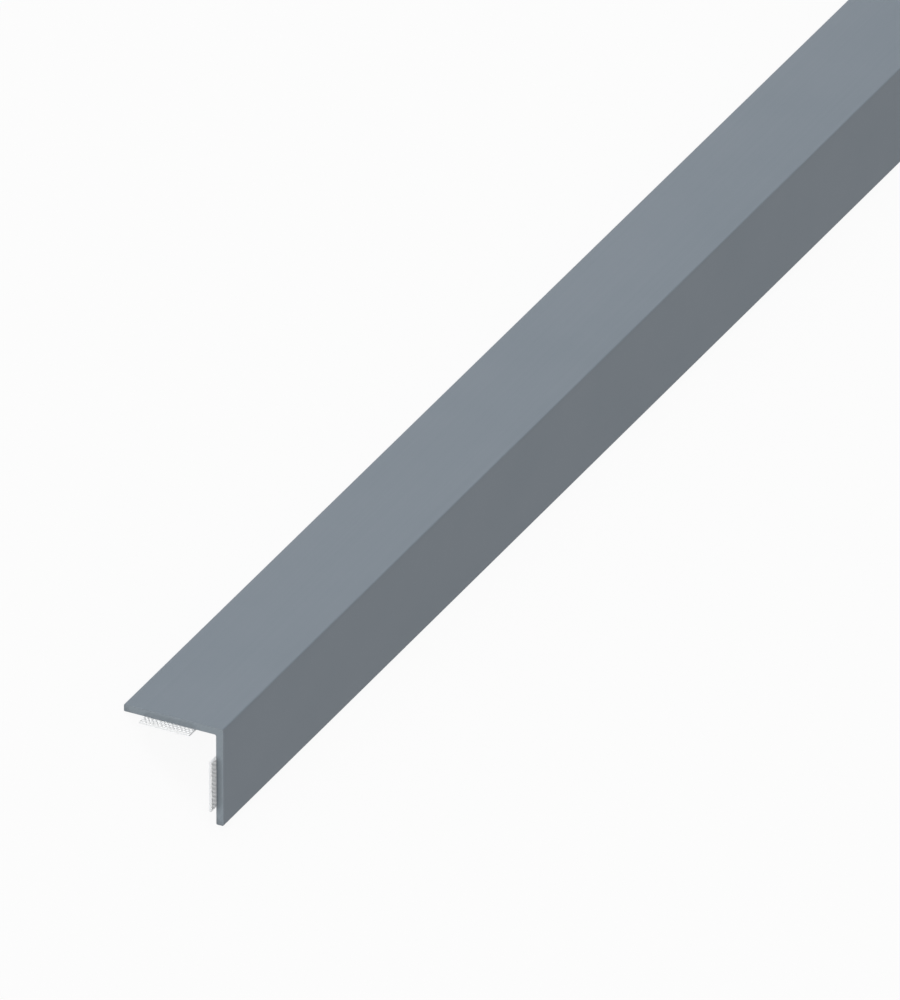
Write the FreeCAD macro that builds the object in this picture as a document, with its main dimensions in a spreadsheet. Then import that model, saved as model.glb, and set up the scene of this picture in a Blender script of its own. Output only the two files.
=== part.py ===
"""Self-adhesive PVC angle profile: an equal angle of extruded rigid PVC, sold by the metre, with a
strip of double-sided tape under its release liner on the inner face of each leg.

The frame, in millimetres: +Y runs along the stock, from the end that the photograph shows (-Y) to
the far end (+Y), and +Z is up. The angle lies as it comes to rest on a level floor, like a ridge
roof: the outer corner is on top and both leg tips touch the floor. The origin is on the floor,
under the ridge, at mid length. Left and right are as seen from the -Y end.

Each piece is drawn as a section and extruded along the stock. In the section's own axes the outer
corner is at (0, 0), the left leg runs along -X and the right leg along -Z. One placement, the same
for all pieces, turns them by 45 degrees into the resting position.
"""

import FreeCAD, Part
import os

import Sketcher
from FreeCAD import Placement, Rotation, Vector

# Driving dimensions, in millimetres.
DIMENSIONS = {
    # the extruded angle
    "stock_length": 1000.0,
    "leg_width": 25.0,  # outside, equal for both legs
    "wall": 1.8,
    "ridge_radius": 0.3,  # outer corner between the legs
    "root_radius": 0.4,  # inner corner between the legs
    "tip_radius": 0.25,  # both edges of each leg tip
    # the double-sided tape and its liner
    "tape_width": 12.7,
    "tape_thickness": 0.28,
    "liner_thickness": 0.12,
    "end_overhang": 2.7,  # tape and liner run past both sawn ends by this much
    "left_root_gap": 5.3,  # bare face from the inner corner to the left strip
    "right_root_gap": 5.9,  # the same on the right leg, whose strip sits nearer the tip
}

RESTING_TURN = Rotation(Vector(0, 1, 0), -45)

# How a sketch names its own axes, the two ends of a line or an arc, and its origin.
LEVEL_AXIS, UPRIGHT_AXIS = -1, -2
START, END = 1, 2
SKETCH_ORIGIN = (LEVEL_AXIS, START)


def make_sheet(doc):
    """The spreadsheet that holds the driving dimensions, one per row: name, then value."""
    sheet = doc.addObject("Spreadsheet::Sheet", "dimensions")
    for row, (name, value) in enumerate(DIMENSIONS.items(), start=1):
        sheet.set(f"A{row}", name)
        sheet.set(f"B{row}", str(value))
        sheet.setAlias(f"B{row}", name)
    doc.recompute()
    return sheet


def start_piece(doc, label):
    """A body in the resting position, with an empty section sketch that lies across the stock."""
    body = doc.addObject("PartDesign::Body", label)
    body.Label = label
    body.Placement = Placement(Vector(0, 0, 0), RESTING_TURN)
    # The corners of the tips are rounded, so they reach less far down than sharp ones would.
    body.setExpression(
        "Placement.Base.z",
        "(dimensions.leg_width + dimensions.wall) / sqrt(2)"
        " - dimensions.tip_radius * (sqrt(2) - 1)",
    )
    across = next(plane for plane in body.Origin.OriginFeatures if plane.Role == "XZ_Plane")
    section = body.newObject("Sketcher::SketchObject", f"{label}_section")
    section.AttachmentSupport = [(across, "")]
    section.MapMode = "FlatFace"
    return body, section


def bind(section, name, kind, geometry, value, expression):
    """Adds a dimension to a sketch, gives it a name and ties it to the spreadsheet."""
    index = section.addConstraint(Sketcher.Constraint(kind, *geometry, value))
    section.renameConstraint(index, name)
    section.setExpression(f"Constraints.{name}", expression)


def extrude(body, section, length):
    """Pads the section along the stock, half of the length to each side of mid length."""
    pad = body.newObject("PartDesign::Pad", f"{body.Label}_extrusion")
    pad.Profile = section
    pad.SideType = "Symmetric"
    pad.setExpression("Length", length)
    return body


def draw_loop(section, corners):
    """Draws a closed outline of upright and level sides through the corners, in order.

    A corner is its place in the section and the radius of its arc, or None where it is sharp.
    Side i starts at corner i. Returns the number of each side and of each corner's arc.
    """
    count = len(corners)
    places = [Vector(x, z, 0) for x, z, _ in corners]
    onward = [(places[(i + 1) % count] - places[i]).normalize() for i in range(count)]
    setback = [radius or 0.0 for _, _, radius in corners]

    sides = []
    for i in range(count):
        after = (i + 1) % count
        begin = places[i] + onward[i] * setback[i]
        finish = places[after] - onward[i] * setback[after]
        side = section.addGeometry(Part.LineSegment(begin, finish))
        upright = abs(onward[i].x) < abs(onward[i].y)
        section.addConstraint(Sketcher.Constraint("Vertical" if upright else "Horizontal", side))
        sides.append(side)

    arcs = []
    for i in range(count):
        before = sides[i - 1]
        if not setback[i]:
            section.addConstraint(Sketcher.Constraint("Coincident", before, END, sides[i], START))
            arcs.append(None)
            continue
        centre = places[i] - onward[i - 1] * setback[i] + onward[i] * setback[i]
        begin = places[i] - onward[i - 1] * setback[i]
        middle = centre + (places[i] - centre).normalize() * setback[i]
        finish = places[i] + onward[i] * setback[i]
        arc = section.addGeometry(Part.Arc(begin, middle, finish))
        # A sketch keeps its arcs anticlockwise, so an arc may run against the outline.
        left_turn = onward[i - 1].cross(onward[i]).z > 0
        arc_start, arc_end = (START, END) if left_turn else (END, START)
        section.addConstraint(Sketcher.Constraint("Tangent", before, END, arc, arc_start))
        section.addConstraint(Sketcher.Constraint("Tangent", arc, arc_end, sides[i], START))
        arcs.append(arc)
    return sides, arcs


def place_side(section, name, side, upright, distance, expression):
    """Sets how far left of the outer corner an upright side is, or how far below it a level one."""
    kind = "DistanceX" if upright else "DistanceY"
    bind(section, name, kind, (side, START, *SKETCH_ORIGIN), distance, expression)


def make_angle_profile(doc, sheet):
    """The extruded angle itself: two equal legs of one wall thickness, sawn square at both ends."""
    body, section = start_piece(doc, "angle_profile")
    leg, wall = sheet.leg_width, sheet.wall
    ridge, root, tip = sheet.ridge_radius, sheet.root_radius, sheet.tip_radius

    # clockwise from the outer corner: down the right leg, round its tip, up to the root, out along
    # the left leg, round its tip, and back
    corners = [
        (0.0, 0.0, ridge),
        (0.0, -leg, tip),
        (-wall, -leg, tip),
        (-wall, -wall, root),
        (-leg, -wall, tip),
        (-leg, 0.0, tip),
    ]
    sides, arcs = draw_loop(section, corners)
    right_outer, right_tip, right_inner, left_inner, left_tip, left_outer = sides
    ridge_arc, right_outer_arc, right_inner_arc, root_arc, left_inner_arc, left_outer_arc = arcs
    tip_arcs = (right_outer_arc, right_inner_arc, left_inner_arc, left_outer_arc)

    on_axis = Sketcher.Constraint("PointOnObject", right_outer, START, UPRIGHT_AXIS)
    section.addConstraint(on_axis)
    on_axis = Sketcher.Constraint("PointOnObject", left_outer, START, LEVEL_AXIS)
    section.addConstraint(on_axis)
    place_side(section, "right_leg_width", right_tip, False, leg, "dimensions.leg_width")
    place_side(section, "right_leg_wall", right_inner, True, wall, "dimensions.wall")
    place_side(section, "left_leg_wall", left_inner, False, wall, "dimensions.wall")
    place_side(section, "left_leg_width", left_tip, True, leg, "dimensions.leg_width")

    bind(section, "ridge_rounding", "Radius", (ridge_arc,), ridge, "dimensions.ridge_radius")
    bind(section, "root_rounding", "Radius", (root_arc,), root, "dimensions.root_radius")
    for number, arc in enumerate(tip_arcs, start=1):
        bind(section, f"tip_rounding_{number}", "Radius", (arc,), tip, "dimensions.tip_radius")
    return extrude(body, section, "dimensions.stock_length")


def make_strip(doc, label, on_left_leg, root_gap, under, thickness):
    """A flat strip along the inner face of one leg, as wide as the tape.

    root_gap is the sheet's name for the bare stretch between the inner corner and the strip,
    under lists the names of the layers between the strip and the outer face, and thickness names
    the strip's own. The left strip lies level in the section and the right one upright.
    """
    body, section = start_piece(doc, label)
    sheet = doc.getObject("dimensions")

    face = " + ".join(f"dimensions.{name}" for name in under)
    back = f"{face} + dimensions.{thickness}"
    near = f"dimensions.wall + dimensions.{root_gap}"
    far = f"{near} + dimensions.tape_width"
    face_depth = sum(getattr(sheet, name) for name in under)
    back_depth = face_depth + getattr(sheet, thickness)
    near_reach = sheet.wall + getattr(sheet, root_gap)
    far_reach = near_reach + sheet.tape_width

    # a corner is its reach along the leg and its depth below the leg's outer face
    corners = [
        (near_reach, face_depth),
        (near_reach, back_depth),
        (far_reach, back_depth),
        (far_reach, face_depth),
    ]
    if on_left_leg:
        outline = [(-reach, -depth, None) for reach, depth in corners]
    else:
        outline = [(-depth, -reach, None) for reach, depth in corners]
    sides, _ = draw_loop(section, outline)
    near_edge, back_face, far_edge, leg_face = sides

    place_side(section, "near_edge", near_edge, on_left_leg, near_reach, near)
    place_side(section, "back_face", back_face, not on_left_leg, back_depth, back)
    place_side(section, "far_edge", far_edge, on_left_leg, far_reach, far)
    place_side(section, "leg_face", leg_face, not on_left_leg, face_depth, face)
    return extrude(body, section, "dimensions.stock_length + 2 * dimensions.end_overhang")


def make_strips(doc):
    """On each leg, the double-sided tape on the PVC and the release liner on the tape."""
    strips = []
    for side in ("left", "right"):
        on_left_leg = side == "left"
        root_gap = f"{side}_root_gap"
        strips += [
            make_strip(doc, f"tape_{side}", on_left_leg, root_gap, ["wall"], "tape_thickness"),
            make_strip(
                doc, f"release_liner_{side}", on_left_leg, root_gap,
                ["wall", "tape_thickness"], "liner_thickness",
            ),
        ]
    return strips


def check(doc, pieces):
    """Stops if any object failed, or if a piece isn't one valid solid."""
    for obj in doc.Objects:
        if "Invalid" in obj.State or "Error" in obj.State:
            raise RuntimeError(f"{obj.Label} failed: {obj.State}")
    for piece in pieces:
        shape = piece.Shape
        if shape.isNull() or not shape.isValid() or len(shape.Solids) != 1:
            raise RuntimeError(f"{piece.Label} isn't one valid solid")


def write(pieces):
    """Writes each piece to its own STEP file and prints its size."""
    os.makedirs("parts", exist_ok=True)
    for piece in pieces:
        piece.Shape.exportStep(f"parts/{piece.Label}.step")
        box = piece.Shape.BoundBox
        print(
            f"{piece.Label}: {box.XLength:.3f} x {box.YLength:.3f} x {box.ZLength:.3f} mm,"
            f" lowest {box.ZMin:.4f}, volume {piece.Shape.Volume:.1f} mm3"
        )


def main():
    doc = FreeCAD.newDocument("angle_profile_stock")
    sheet = make_sheet(doc)
    pieces = [make_angle_profile(doc, sheet)] + make_strips(doc)
    doc.recompute()
    check(doc, pieces)
    write(pieces)


main()
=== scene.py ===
# %% [markdown]
# # A self-adhesive PVC angle
#
# The object is one metre of grey extruded PVC angle. Inside each leg runs a strip of double-sided
# tape, still under its release liner, and both stick out a little past the sawn ends. The solids
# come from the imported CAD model, in metres, and are never moved or reshaped here. This lesson adds
# what they lack: finishes, the woven threads inside the tape, a camera, light and a floor.

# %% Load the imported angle
import math

import bmesh
import bpy
from mathutils import Matrix, Vector


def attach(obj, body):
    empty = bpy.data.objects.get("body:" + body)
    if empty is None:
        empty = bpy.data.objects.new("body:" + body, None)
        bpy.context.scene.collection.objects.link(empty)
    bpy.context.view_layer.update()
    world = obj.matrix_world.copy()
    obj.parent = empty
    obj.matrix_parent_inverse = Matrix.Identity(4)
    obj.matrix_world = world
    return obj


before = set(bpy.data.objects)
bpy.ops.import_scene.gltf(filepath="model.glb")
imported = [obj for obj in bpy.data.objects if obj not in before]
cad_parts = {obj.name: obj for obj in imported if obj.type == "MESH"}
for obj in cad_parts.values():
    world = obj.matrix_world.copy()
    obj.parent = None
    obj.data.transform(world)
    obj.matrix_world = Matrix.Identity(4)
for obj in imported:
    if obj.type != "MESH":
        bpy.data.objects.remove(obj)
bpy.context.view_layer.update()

MM = 0.001
print("CAD nodes:", sorted(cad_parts))

# %% [markdown]
# ## Measure before modelling
#
# The angle lies like a ridge roof, so its legs slope at 45 degrees and a plain bounding box says
# little about them. It helps to measure along the object's own directions instead: along a leg,
# away from the ridge, and through its wall, from the outer face inwards. A dot product with such a
# direction turns every vertex into one number, and the smallest and largest are the piece's span.

# %% Directions of the two legs
# A direction that slopes at 45 degrees goes this far sideways and as far down.
ROOT_HALF = math.sqrt(0.5)
LEGS = {
    "left": {
        "along": Vector((-ROOT_HALF, 0, -ROOT_HALF)),
        "inward": Vector((ROOT_HALF, 0, -ROOT_HALF)),
    },
    "right": {
        "along": Vector((ROOT_HALF, 0, -ROOT_HALF)),
        "inward": Vector((-ROOT_HALF, 0, -ROOT_HALF)),
    },
}
LENGTHWISE = Vector((0, 1, 0))

between_legs = LEGS["left"]["along"].angle(LEGS["right"]["along"])
print("angle between the legs, degrees:", round(math.degrees(between_legs)))


# %% Measures of the angle and its tape
def span(node, direction):
    """The lowest and highest reach of a CAD node along a direction, in metres."""
    reaches = [vertex.co.dot(direction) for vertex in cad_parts[node].data.vertices]
    return min(reaches), max(reaches)


outer_face = {side: span("angle_profile", leg["inward"])[0] for side, leg in LEGS.items()}
# The two outer faces meet in the sharp corner that the rounded ridge stands for.
ridge_height = -(outer_face["left"] + outer_face["right"]) / 2 / ROOT_HALF
near_end, far_end = span("angle_profile", LENGTHWISE)
overhang = near_end - span("tape_left", LENGTHWISE)[0]
tape_edges = {side: span(f"tape_{side}", leg["along"]) for side, leg in LEGS.items()}
tape_width = tape_edges["left"][1] - tape_edges["left"][0]
print("ridge height, mm:", round(ridge_height / MM, 3))
print("tape width and overhang, mm:", round(tape_width / MM, 2), round(overhang / MM, 2))

# %% [markdown]
# ## The camera
#
# The photograph is drawn almost without perspective, with the right leg upright in the picture. A
# very long lens from nine metres away gives the same parallel lines. The camera is aimed by a
# point that is easy to find in the picture, the near end of the ridge: it starts there, slides
# sideways until that point falls on its pixel, and only then backs away along the view direction.
# An orthographic camera would do as well here, but its fixed width would crop every other view.

# %% Camera at the photograph's angle
PHOTO_WIDTH, PHOTO_HEIGHT = 900, 1000
RIDGE_END_X, RIDGE_END_Y = 223.2, 729.8
PIXELS_PER_METRE = 4480
LENS, SENSOR = 1500, 36
# The slopes of the edges in the photograph give the direction that it looks from.
TOWARDS_CAMERA = Vector((-0.0751, -0.7700, 0.6336)).normalized()

picture_up_hint = -LEGS["right"]["along"]
picture_right = picture_up_hint.cross(TOWARDS_CAMERA).normalized()
picture_up = TOWARDS_CAMERA.cross(picture_right)

ridge_end = Vector((0, near_end, ridge_height))
slide_right = (PHOTO_WIDTH / 2 - RIDGE_END_X) / PIXELS_PER_METRE
slide_up = (RIDGE_END_Y - PHOTO_HEIGHT / 2) / PIXELS_PER_METRE
distance = PHOTO_HEIGHT / PIXELS_PER_METRE * LENS / SENSOR

camera_data = bpy.data.cameras.new("camera")
camera_data.lens = LENS
camera_data.sensor_width = SENSOR
camera = bpy.data.objects.new("camera", camera_data)
bpy.context.scene.collection.objects.link(camera)
turn = Matrix((picture_right, picture_up, TOWARDS_CAMERA)).transposed().to_4x4()
place = ridge_end + slide_right * picture_right + slide_up * picture_up + distance * TOWARDS_CAMERA
camera.matrix_world = Matrix.Translation(place) @ turn
bpy.context.scene.camera = camera
# Standard shows a colour as it is written; Blender's default, AgX, would make white a pale grey.
bpy.context.scene.view_settings.view_transform = "Standard"
print("camera stands", round(distance, 2), "m away")

# %% [markdown]
# ## Nodes in a few words
#
# Every finish below is a small network of shader nodes. Written out in full, most of its lines
# would only make a node and fill in its sockets, so one helper does both. A socket that is given
# another node's output is linked to it, and one that is given a number or a colour is set. The
# kind of a node is its type's name in Blender without the prefix that all shader nodes share.

# %% Helpers for shader nodes
PREFIX = "ShaderNode"


def add_node(tree, kind, inputs=None, **settings):
    """Adds a node, applies its settings, and sets or links its input sockets by name or number."""
    node = tree.nodes.new(PREFIX + kind)
    for name, value in settings.items():
        setattr(node, name, value)
    for name, value in (inputs or {}).items():
        if isinstance(value, bpy.types.NodeSocket):
            tree.links.new(value, node.inputs[name])
        else:
            node.inputs[name].default_value = value
    return node


def calculate(tree, operation, first, second=0.0, clamp=False):
    """The result of one arithmetic step between two sockets or numbers."""
    inputs = {0: first, 1: second}
    return add_node(tree, "Math", inputs, operation=operation, use_clamp=clamp).outputs[0]


def new_material(name):
    """An empty node material, its tree and its output node."""
    material = bpy.data.materials.new(name)
    material.use_nodes = True
    tree = material.node_tree
    tree.nodes.clear()
    return material, tree, add_node(tree, "OutputMaterial")


print("kinds of shader node:", sum(name.startswith(PREFIX) for name in dir(bpy.types)))

# %% [markdown]
# ## Floor and background
#
# The photograph has a pure white background. Brighter lamps would bleach the object long before
# the floor turned white, so the floor is made white for the camera alone: Light Path says when a
# ray comes straight from the camera, or by way of a gloss reflection, and then most of the floor's
# own shading is swapped for plain white. The rest still shows the object's soft shadow.

# %% White for the camera, plain for everything else
WHITE = (1, 1, 1, 1)
WHITE_LEVEL = 1.0
WHITE_SHARE = 0.93
FLOOR_COLOUR = (0.8, 0.8, 0.8, 1)


def seen_directly(tree):
    """1 for rays from the camera, a reflection or glass, and 0 for light that bounces."""
    path = add_node(tree, "LightPath").outputs
    camera_or_gloss = calculate(tree, "ADD", path["Is Camera Ray"], path["Is Glossy Ray"])
    return calculate(tree, "ADD", camera_or_gloss, path["Is Transmission Ray"], clamp=True)


floor_material, tree, output = new_material("floor_white")
plain = add_node(tree, "BsdfDiffuse", {"Color": FLOOR_COLOUR})
white = add_node(tree, "Emission", {"Color": WHITE, "Strength": WHITE_LEVEL})
share = calculate(tree, "MULTIPLY", seen_directly(tree), WHITE_SHARE)
floor_mix = add_node(tree, "MixShader", {0: share, 1: plain.outputs[0], 2: white.outputs[0]})
tree.links.new(floor_mix.outputs[0], output.inputs["Surface"])
print(floor_material.name, "nodes:", len(tree.nodes))

# %% Floor
FLOOR_HALF = 4.0

floor_mesh = bpy.data.meshes.new("floor")
floor_shape = bmesh.new()
bmesh.ops.create_grid(floor_shape, x_segments=1, y_segments=1, size=FLOOR_HALF)
floor_shape.to_mesh(floor_mesh)
floor_shape.free()
floor_mesh.materials.append(floor_material)
floor = bpy.data.objects.new("floor", floor_mesh)
bpy.context.scene.collection.objects.link(floor)
print("floor:", 2 * FLOOR_HALF, "m across")

# %% World
ROOM_LIGHT = 0.48

world = bpy.data.worlds.new("studio")
world.use_nodes = True
bpy.context.scene.world = world
tree = world.node_tree
tree.nodes.clear()
room = add_node(tree, "Background", {"Color": WHITE, "Strength": ROOM_LIGHT})
backdrop = add_node(tree, "Background", {"Color": WHITE, "Strength": WHITE_LEVEL})
world_mix = add_node(
    tree, "MixShader", {0: seen_directly(tree), 1: room.outputs[0], 2: backdrop.outputs[0]}
)
world_output = add_node(tree, "OutputWorld")
tree.links.new(world_mix.outputs[0], world_output.inputs["Surface"])
print("room light:", ROOM_LIGHT)

# %% [markdown]
# ## Light
#
# In the photograph the left leg's face and the sawn end are equally bright, and the right leg's
# face has little more than half of their light. An even white room gives every face the darker
# level. A strong soft lamp stands before the sawn end, low and a little to the left, so it also
# grazes the left face but misses the right one, and it lets the strip's overhang shade the end. A
# weaker lamp square to the left face adds what is still missing there. Sun lamps are used because
# a lamp at a distance would light one end of a metre-long bar more than the other.

# %% Two soft lamps
FACE_LAMP_STRENGTH, FACE_LAMP_SOFTNESS = 0.75, 30
END_LAMP_STRENGTH, END_LAMP_SOFTNESS = 2.6, 50
END_LAMP_LIFT, END_LAMP_ASIDE = 0.15, 0.35


def add_sun(name, towards_lamp, strength, softness):
    """A sun lamp, given by the direction from the object to the lamp and its width in degrees."""
    data = bpy.data.lights.new(name, "SUN")
    data.energy = strength
    data.angle = math.radians(softness)
    sun = bpy.data.objects.new(name, data)
    sun.rotation_mode = "QUATERNION"
    sun.rotation_quaternion = towards_lamp.to_track_quat("Z", "Y")
    bpy.context.scene.collection.objects.link(sun)
    height = math.degrees(math.asin(towards_lamp.normalized().z))
    print(name, "stands", round(height), "degrees above the floor")


towards_face_lamp = -LEGS["left"]["inward"]
towards_end_lamp = Vector((-END_LAMP_ASIDE, 0, END_LAMP_LIFT)) - LENGTHWISE
add_sun("lamp_for_left_face", towards_face_lamp, FACE_LAMP_STRENGTH, FACE_LAMP_SOFTNESS)
add_sun("lamp_for_sawn_end", towards_end_lamp, END_LAMP_STRENGTH, END_LAMP_SOFTNESS)

# %% [markdown]
# ## Colours as light
#
# A colour picked in a picture editor is on a curve that gives the dark tones more room. A shader
# counts light itself, so each colour is turned back first: the curve is a straight line up to its
# knee, and a power above it. Every colour below is written as the editor shows it.

# %% From a picture's colour to light
CHANNEL_FULL = 255
CURVE_KNEE, CURVE_SLOPE = 0.04045, 12.92
CURVE_OFFSET, CURVE_POWER = 0.055, 2.4


def linear(red, green, blue):
    """A colour as a picture editor shows it, 0 to 255, as the light that a shader needs."""
    colour = []
    for channel in (red, green, blue):
        share = channel / CHANNEL_FULL
        if share <= CURVE_KNEE:
            colour.append(share / CURVE_SLOPE)
        else:
            colour.append(((share + CURVE_OFFSET) / (1 + CURVE_OFFSET)) ** CURVE_POWER)
    return [*colour, 1.0]


print("photographed grey, as light:", [round(c, 3) for c in linear(134, 143, 151)[:3]])

# %% [markdown]
# ## Grey PVC
#
# Extruded PVC leaves the die with a satin skin. Seen close, it has faint lines along its length,
# which scratches in the die draw, and a slight orange-peel texture. Modelled, they would take far
# more faces than their depth is worth, so both are noise. For the lines the coordinates are
# squeezed along the length, so that the noise is drawn out into streaks: squeezed to 0.004, a
# streak is 250 times as long as it is wide. Every value that starts with ALONG is such a squeeze.

# %% The patterns of the skin
STREAKS_PER_METRE, MOTTLES_PER_METRE, PEEL_SPOTS_PER_METRE = 2200, 40, 1400
ALONG_STREAK = 0.004


def object_coordinates(tree, scale=(1, 1, 1), turn_y=0.0):
    """Object coordinates in metres, turned about the stock's length and then scaled."""
    place = add_node(tree, "TexCoord").outputs["Object"]
    turn = add_node(tree, "Mapping", {"Vector": place, "Rotation": (0, turn_y, 0)})
    return add_node(tree, "Mapping", {"Vector": turn.outputs[0], "Scale": scale}).outputs[0]


def noise(tree, vector, per_metre, detail=2.0):
    """A noise pattern, with about so many of its spots in a row of one metre."""
    inputs = {"Vector": vector, "Scale": per_metre, "Detail": detail}
    return add_node(tree, "TexNoise", inputs).outputs[0]


pvc, tree, output = new_material("pvc_grey")
streaks = noise(tree, object_coordinates(tree, (1, ALONG_STREAK, 1)), STREAKS_PER_METRE, detail=4)
mottle = noise(tree, object_coordinates(tree), MOTTLES_PER_METRE, detail=3)
peel = noise(tree, object_coordinates(tree), PEEL_SPOTS_PER_METRE)
print("a streak is about", round(1 / STREAKS_PER_METRE / MM, 2), "mm wide")

# %% [markdown]
# ## The sawn ends
#
# The ends are matt, with the marks of the blade. They could be a second material on the end faces,
# but the CAD mesh isn't edited, so the shader finds them by their place: it compares the distance
# from mid length with half of the length. Where the sticky tape meets the end, shade is painted
# into its colour, darker the deeper the corner. The Ambient Occlusion node finds that corner,
# because it measures how open the surroundings of each point are: about 1 in the open, and less
# the deeper a point lies.

# %% Saw marks, and where the cut is
SAW_MARKS_PER_METRE = 5200
ALONG_SAW_MARK = 0.06
SAW_TILT = math.radians(12)
CUT_DEPTH = 0.02 * MM


def beyond(tree, reach):
    """1 on the parts farther than this from mid length, towards either end, and 0 between them."""
    place = add_node(tree, "SeparateXYZ", {0: object_coordinates(tree)}).outputs
    from_middle = calculate(tree, "ABSOLUTE", place["Y"])
    return calculate(tree, "GREATER_THAN", from_middle, reach)


saw_place = object_coordinates(tree, (1, 1, ALONG_SAW_MARK), SAW_TILT)
saw_marks = noise(tree, saw_place, SAW_MARKS_PER_METRE, detail=3)
on_sawn_end = beyond(tree, far_end - CUT_DEPTH)
print("the cut begins", round((far_end - CUT_DEPTH) / MM, 2), "mm from mid length")

# %% Painted shade in the corner between the sawn end and the tape
SAWN_COLOURS = linear(119, 128, 135), linear(129, 137, 143)
PAINTED_SHADE_COLOUR = linear(84, 88, 92)
PAINTED_SHADE_REACH, PAINTED_SHADE_SHARE = 2.5 * MM, 0.28
OPEN_IN_CORNER, OPEN_ELSEWHERE = 0.77, 0.88
# Noise runs from 0 to 1, but nearly all of it lies in here.
NOISE_RANGE = (0.3, 0.7)


def remap(tree, value, old_range, new_range):
    """Stretches a value from one range to another, and holds it inside the new one."""
    inputs = {"Value": value, 1: old_range[0], 2: old_range[1], 3: new_range[0], 4: new_range[1]}
    return add_node(tree, "MapRange", inputs).outputs[0]


def blend_colours(tree, share, first, second):
    """A mix of two colours, share parts of the second."""
    node = add_node(tree, "Mix", {0: share, 6: first, 7: second}, data_type="RGBA")
    return node.outputs[2]


unshaded_sawn_colour = blend_colours(tree, remap(tree, saw_marks, NOISE_RANGE, (0, 1)), *SAWN_COLOURS)
# Painted shade: the sawn end's colour is darkened towards the corner where the tape meets it.
openness = add_node(tree, "AmbientOcclusion", {"Distance": PAINTED_SHADE_REACH}).outputs["AO"]
painted_shade = remap(tree, openness, (OPEN_IN_CORNER, OPEN_ELSEWHERE), (PAINTED_SHADE_SHARE, 0))
sawn_colour = blend_colours(tree, painted_shade, unshaded_sawn_colour, PAINTED_SHADE_COLOUR)
print("grime reaches", round(PAINTED_SHADE_REACH / MM, 1), "mm from the tape")

# %% The colour of the skin, and the height of skin and cut
SKIN_COLOURS = linear(121, 131, 140), linear(126, 135, 144)
MOTTLE_SHARE, PEEL_SHARE = 0.4, 0.5
# A mix of two patterns strays less from the middle than either does.
MIX_RANGE = (0.35, 0.65)
# The height of the saw marks, where that of the skin is 1.
SAW_MARK_HEIGHT = 3.0
PVC_RELIEF = {"Strength": 0.35, "Distance": 0.02 * MM}


def blend(tree, share, first, second):
    """A mix of two numbers, share parts of the second."""
    return add_node(tree, "Mix", {0: share, 2: first, 3: second}).outputs[0]


tone = blend(tree, MOTTLE_SHARE, streaks, mottle)
skin_colour = blend_colours(tree, remap(tree, tone, MIX_RANGE, (0, 1)), *SKIN_COLOURS)
skin_height = blend(tree, PEEL_SHARE, streaks, peel)
saw_height = calculate(tree, "MULTIPLY", saw_marks, SAW_MARK_HEIGHT)
height = blend(tree, on_sawn_end, skin_height, saw_height)
bump = add_node(tree, "Bump", {"Height": height, **PVC_RELIEF})
print("pvc_grey nodes so far:", len(tree.nodes))

# %% The PVC material
SKIN_ROUGHNESS, SAWN_ROUGHNESS = (0.42, 0.52), 0.72
PVC_REFRACTION, PVC_GLOSS = 1.53, 0.2


def finish(tree, output, inputs):
    """Connects one Principled shader with the given inputs to the material's output."""
    surface = add_node(tree, "BsdfPrincipled", inputs)
    tree.links.new(surface.outputs[0], output.inputs["Surface"])
    print(output.id_data.name, "nodes:", len(tree.nodes))


def dress(node, material):
    """Gives a CAD node one material, in place of the one that it came with."""
    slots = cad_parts[node].data.materials
    slots.clear()
    slots.append(material)


skin_roughness = remap(tree, streaks, NOISE_RANGE, SKIN_ROUGHNESS)
inputs = {
    "Base Color": blend_colours(tree, on_sawn_end, skin_colour, sawn_colour),
    "Roughness": blend(tree, on_sawn_end, skin_roughness, SAWN_ROUGHNESS),
    "IOR": PVC_REFRACTION,
    "Specular IOR Level": PVC_GLOSS,
    "Normal": bump.outputs[0],
}
finish(tree, output, inputs)
dress("angle_profile", pvc)

# %% [markdown]
# ## The woven threads of the tape
#
# The tape is a milky adhesive on both sides of a fine white scrim. Where it sticks out past the
# sawn end, the scrim shows: warp threads along the stock and weft threads across it, each passing
# over and under the others in turn. A texture could draw them, but this small patch is where the
# photograph looks straight at the tape, so every thread is modelled. A thread is a flat hexagon,
# extruded in short steps that rise and fall along a cosine. All warps are the same shape but start
# at the cosine's top or at its bottom by turns, and a weft does the opposite of the warp it meets.

# %% One thread
THREAD_SIDES = 6
THREAD_THICKNESS = 0.12 * MM
STEPS_PER_CROSSING = 4
# Stands a circle up, so that it faces along X: its X becomes Y, and its Y becomes Z.
FACING_X = Matrix(((0, 0, 1), (1, 0, 0), (0, 1, 0))).to_4x4()


def extrude_thread(shape, width, length, first_crossing, pitch, half_turns):
    """A thread along X, highest at the first crossing, or lowest there after one half turn."""

    def height(along):
        crossings = (along - first_crossing) / pitch + half_turns
        return THREAD_THICKNESS / 2 * (1 + math.cos(math.pi * crossings))

    flattened = Matrix.Diagonal((1, width / 2, THREAD_THICKNESS / 2, 1)) @ FACING_X
    start = Matrix.Translation((0, 0, height(0))) @ flattened
    circle = {"cap_ends": True, "segments": THREAD_SIDES, "radius": 1, "matrix": start}
    vertices = bmesh.ops.create_circle(shape, **circle)["verts"]
    tip = vertices[0].link_faces[0]
    steps = round(STEPS_PER_CROSSING * length / pitch)
    for step in range(steps):
        rise = height((step + 1) * length / steps) - height(step * length / steps)
        grown = bmesh.ops.extrude_face_region(shape, geom=[tip])["geom"]
        tip = next(part for part in grown if isinstance(part, bmesh.types.BMFace))
        bmesh.ops.translate(shape, verts=tip.verts, vec=(length / steps, 0, rise))
        vertices = vertices + list(tip.verts)
    return vertices


print("a thread has", THREAD_SIDES, "sides and", STEPS_PER_CROSSING, "steps to each crossing")

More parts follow.
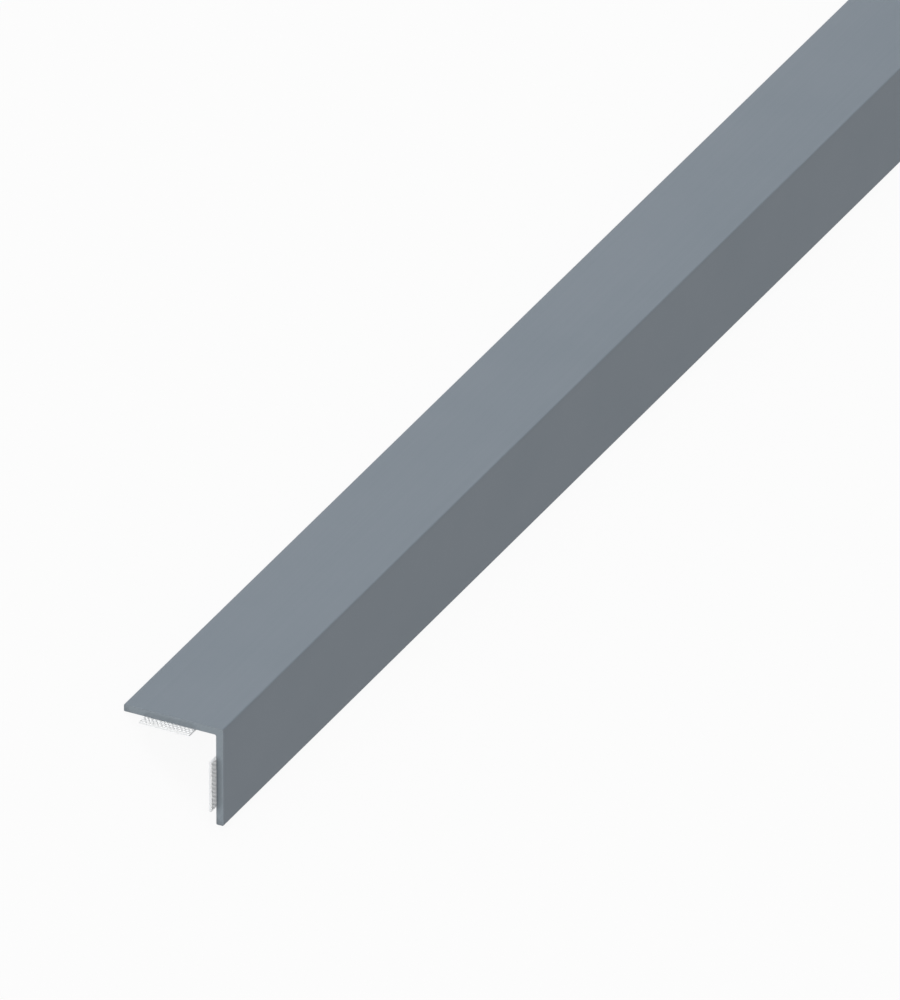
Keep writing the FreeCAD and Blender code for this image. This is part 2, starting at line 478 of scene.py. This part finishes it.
# %% One woven patch
WARP_COUNT = 25
WARP_WIDTH, WEFT_WIDTH = 0.30 * MM, 0.30 * MM
FIRST_WEFT, WEFT_PITCH = 0.30 * MM, 0.70 * MM
THREAD_CLEARANCE = 0.02 * MM
WARP_MATERIAL, WEFT_MATERIAL = 0, 1
QUARTER_TURN = math.radians(90)


def weave_patch():
    """The threads at one end of one strip, with X across the strip and Y away from the sawn end."""
    shape = bmesh.new()
    pitch = tape_width / WARP_COUNT
    warp_length = overhang - 2 * THREAD_CLEARANCE
    weft_length = tape_width - 2 * THREAD_CLEARANCE
    lengthwise = Matrix.Rotation(QUARTER_TURN, 4, "Z")
    for number in range(WARP_COUNT):
        first = FIRST_WEFT - THREAD_CLEARANCE
        warp = extrude_thread(shape, WARP_WIDTH, warp_length, first, WEFT_PITCH, number)
        place = Matrix.Translation(((number + 0.5) * pitch, THREAD_CLEARANCE, 0))
        bmesh.ops.transform(shape, matrix=place @ lengthwise, verts=warp)
    warp_faces = len(shape.faces)
    weft_count = math.ceil((overhang - FIRST_WEFT - WEFT_WIDTH / 2) / WEFT_PITCH)
    for number in range(weft_count):
        first = pitch / 2 - THREAD_CLEARANCE
        weft = extrude_thread(shape, WEFT_WIDTH, weft_length, first, pitch, number + 1)
        place = (THREAD_CLEARANCE, FIRST_WEFT + number * WEFT_PITCH, 0)
        bmesh.ops.translate(shape, verts=weft, vec=place)
    for number, face in enumerate(shape.faces):
        face.material_index = WARP_MATERIAL if number < warp_faces else WEFT_MATERIAL
        face.smooth = True
    print(WARP_COUNT, "warps and", weft_count, "wefts,", len(shape.faces), "faces")
    return shape


patch_mesh = bpy.data.meshes.new("woven_patch")
patch = weave_patch()
patch.to_mesh(patch_mesh)
patch.free()

# %% [markdown]
# ## A patch at each end of each strip
#
# The patch was woven on a flat drawing board: X across the strip, Y away from the sawn end, Z out
# of the tape. A matrix whose columns are those three directions on the object puts it in its
# place. On two of the four places this turns the patch into its mirror image, which also turns its
# faces inside out, so the normals are worked out afresh at the end. The left strip looks smoother
# than the right one, because its threads lie deeper in the adhesive, so its patches are flattened.

# %% The threads in place
# The share of its height that the weave keeps on each leg.
WEAVE_HEIGHT = {"left": 0.3, "right": 1.0}

tape_face = {side: span(f"tape_{side}", leg["inward"])[0] for side, leg in LEGS.items()}
scrims = {}
for side, leg in LEGS.items():
    shape = bmesh.new()
    flatten = Matrix.Diagonal((1, 1, WEAVE_HEIGHT[side], 1))
    corner = tape_edges[side][0] * leg["along"] + tape_face[side] * leg["inward"]
    for outward, sawn_end in ((-LENGTHWISE, near_end), (LENGTHWISE, far_end)):
        already = len(shape.verts)
        shape.from_mesh(patch_mesh)
        shape.verts.ensure_lookup_table()
        axes = Matrix((leg["along"], outward, -leg["inward"])).transposed().to_4x4()
        place = Matrix.Translation(corner + sawn_end * LENGTHWISE)
        bmesh.ops.transform(shape, matrix=place @ axes @ flatten, verts=shape.verts[already:])
    bmesh.ops.recalc_face_normals(shape, faces=shape.faces)
    mesh = bpy.data.meshes.new(f"scrim_threads_{side}")
    shape.to_mesh(mesh)
    shape.free()
    scrim = bpy.data.objects.new(f"scrim_threads_{side}", mesh)
    bpy.context.scene.collection.objects.link(scrim)
    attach(scrim, "root")
    scrims[side] = scrim
    print(scrim.name, len(mesh.polygons), "faces")

# %% [markdown]
# ## White threads
#
# The threads are bundles of white filaments, so fine noise is stretched along each kind of thread.
# On both legs the pattern has to follow the leg. Folding does that: the absolute value of X lays
# the left leg over the right one, and an eighth of a turn about Y then makes X run down the leg
# and Z out of it. The tape and the liner use the same coordinates.

# %% Coordinates that follow a leg, and the thread materials
EIGHTH_TURN = math.radians(45)
THREAD_COLOURS = linear(252, 253, 253), linear(254, 254, 255)
THREAD_ROUGHNESS, THREAD_SHEEN = 0.6, 0.2
THREAD_RELIEF = {"Strength": 0.4, "Distance": 0.01 * MM}
FILAMENTS_PER_METRE = 20000
ALONG_FILAMENT = 0.08


def leg_coordinates(tree, scale=(1, 1, 1)):
    """Metres down the leg, along the stock and outwards through the wall, then scaled."""
    whole = add_node(tree, "TexCoord").outputs["Object"]
    place = add_node(tree, "SeparateXYZ", {0: whole}).outputs
    folded_x = calculate(tree, "ABSOLUTE", place["X"])
    folded = add_node(tree, "CombineXYZ", {"X": folded_x, "Y": place["Y"], "Z": place["Z"]})
    turned = {"Vector": folded.outputs[0], "Rotation": (0, -EIGHTH_TURN, 0)}
    turn = add_node(tree, "Mapping", turned)
    return add_node(tree, "Mapping", {"Vector": turn.outputs[0], "Scale": scale}).outputs[0]


def thread_material(name, scale):
    """White filaments, drawn out along the thread by the scale of their coordinates."""
    material, tree, output = new_material(name)
    filaments = noise(tree, leg_coordinates(tree, scale), FILAMENTS_PER_METRE, detail=3)
    bump = add_node(tree, "Bump", {"Height": filaments, **THREAD_RELIEF})
    inputs = {
        "Base Color": blend_colours(tree, filaments, *THREAD_COLOURS),
        "Roughness": THREAD_ROUGHNESS,
        "Normal": bump.outputs[0],
        "Sheen Weight": THREAD_SHEEN,
    }
    finish(tree, output, inputs)
    return material


warp_thread = thread_material("scrim_warp", (1, ALONG_FILAMENT, 1))
weft_thread = thread_material("scrim_weft", (ALONG_FILAMENT, 1, 1))
for scrim in scrims.values():
    scrim.data.materials.append(warp_thread)
    scrim.data.materials.append(weft_thread)

# %% [markdown]
# ## Milky adhesive
#
# The adhesive is a milky layer, as smooth as a liquid. On the right leg it is a little greyer than
# the threads. On the left leg its colour is painted lighter, nearly as white, as painted light
# where the lamp falls square on that strip. Its cut edges show the cut threads as a row of whiter
# dots, half way through the tape. They are counted off along the edge, in the pitch that the
# threads were woven in, so that each dot lies where its thread comes out. Where the tape was cut
# off, its end is made greyer.

# %% Thread ends in the cut edges of the tape
CORE_SHARE = 0.6


def near_a_thread(tree, place, first, pitch, width):
    """1 within half a width of the middle of one of the evenly spaced threads, and 0 elsewhere."""
    pitches = calculate(tree, "DIVIDE", calculate(tree, "SUBTRACT", place, first), pitch)
    # Turned back at every half pitch, the count tells how far off the nearest thread is.
    off_thread = calculate(tree, "PINGPONG", pitches, 0.5)
    return calculate(tree, "LESS_THAN", off_thread, width / pitch / 2)


def thread_ends(tree, side):
    """1 where a cut through the tape of this side shows a thread, and 0 in the adhesive."""
    place = add_node(tree, "SeparateXYZ", {0: leg_coordinates(tree)}).outputs
    pitch = tape_width / WARP_COUNT
    first_warp = tape_edges[side][0] + pitch / 2
    in_warp = near_a_thread(tree, place["X"], first_warp, pitch, WARP_WIDTH)
    from_middle = calculate(tree, "ABSOLUTE", place["Y"])
    in_weft = near_a_thread(tree, from_middle, far_end + FIRST_WEFT, WEFT_PITCH, WEFT_WIDTH)
    tape_top, tape_bottom = span(f"tape_{side}", LEGS[side]["inward"])
    from_core = calculate(tree, "ADD", place["Z"], (tape_top + tape_bottom) / 2)
    core_half = (tape_bottom - tape_top) * CORE_SHARE / 2
    in_core = calculate(tree, "LESS_THAN", calculate(tree, "ABSOLUTE", from_core), core_half)
    return calculate(tree, "MULTIPLY", in_core, calculate(tree, "MAXIMUM", in_warp, in_weft))


print("warp pitch in the cut, mm:", round(tape_width / WARP_COUNT / MM, 3))

# %% Adhesive
# Both legs carry the same adhesive; the left one's colours are painted lighter, as painted light.
ADHESIVE_AND_PAINTED_LIGHT_COLOURS = {
    "left": (linear(249, 250, 250), linear(252, 253, 253)),
    "right": (linear(233, 235, 237), linear(241, 243, 245)),
}
CUT_END_GREY = linear(196, 198, 200)
CUT_END_GREY_SHARE = 0.5
BLOTCHES_PER_METRE = 1800
ADHESIVE_ROUGHNESS = (0.15, 0.3)
ADHESIVE_RELIEF = {"Strength": 0.3, "Distance": 0.02 * MM}


def grey_the_cut_end(tree, colour):
    """The given colour, greyed on the end where tape and liner were cut off."""
    share = calculate(tree, "MULTIPLY", beyond(tree, far_end + overhang - CUT_DEPTH), CUT_END_GREY_SHARE)
    return blend_colours(tree, share, colour, CUT_END_GREY)


for side in LEGS:
    tape, tree, output = new_material(f"adhesive_tape_{side}")
    blotches = noise(tree, leg_coordinates(tree), BLOTCHES_PER_METRE, detail=3)
    adhesive = blend_colours(tree, blotches, *ADHESIVE_AND_PAINTED_LIGHT_COLOURS[side])
    with_threads = blend_colours(tree, thread_ends(tree, side), adhesive, THREAD_COLOURS[0])
    ripples = add_node(tree, "Bump", {"Height": blotches, **ADHESIVE_RELIEF})
    inputs = {
        "Base Color": grey_the_cut_end(tree, with_threads),
        "Roughness": remap(tree, blotches, NOISE_RANGE, ADHESIVE_ROUGHNESS),
        "Normal": ripples.outputs[0],
    }
    finish(tree, output, inputs)
    dress(f"tape_{side}", tape)

# %% [markdown]
# ## Release liner
#
# The liner is a white film that protects the adhesive until the angle is stuck on. It has faint
# creases along the strip, from the roll that it came off. They are too shallow to model, so they
# are noise in the bump, and a soft cloud of noise keeps the white from being flat. Its cut end is
# greyed like the tape's.

# %% Liner
LINER_COLOURS = linear(236, 238, 240), linear(247, 248, 249)
LINER_ROUGHNESS = (0.3, 0.42)
LINER_RELIEF = {"Strength": 0.3, "Distance": 0.03 * MM}
CLOUDS_PER_METRE, CREASES_PER_METRE = 600, 900
ALONG_CREASE = 0.15

liner, tree, output = new_material("release_liner")
cloud = noise(tree, leg_coordinates(tree), CLOUDS_PER_METRE, detail=3)
creases = noise(tree, leg_coordinates(tree, (1, ALONG_CREASE, 1)), CREASES_PER_METRE)
film_bump = add_node(tree, "Bump", {"Height": creases, **LINER_RELIEF})
inputs = {
    "Base Color": grey_the_cut_end(tree, blend_colours(tree, cloud, *LINER_COLOURS)),
    "Roughness": remap(tree, cloud, NOISE_RANGE, LINER_ROUGHNESS),
    "Normal": film_bump.outputs[0],
}
finish(tree, output, inputs)
for side in LEGS:
    dress(f"release_liner_{side}", liner)

# %% [markdown]
# ## Sizes
#
# Everything above should dress the angle without making it any bigger.
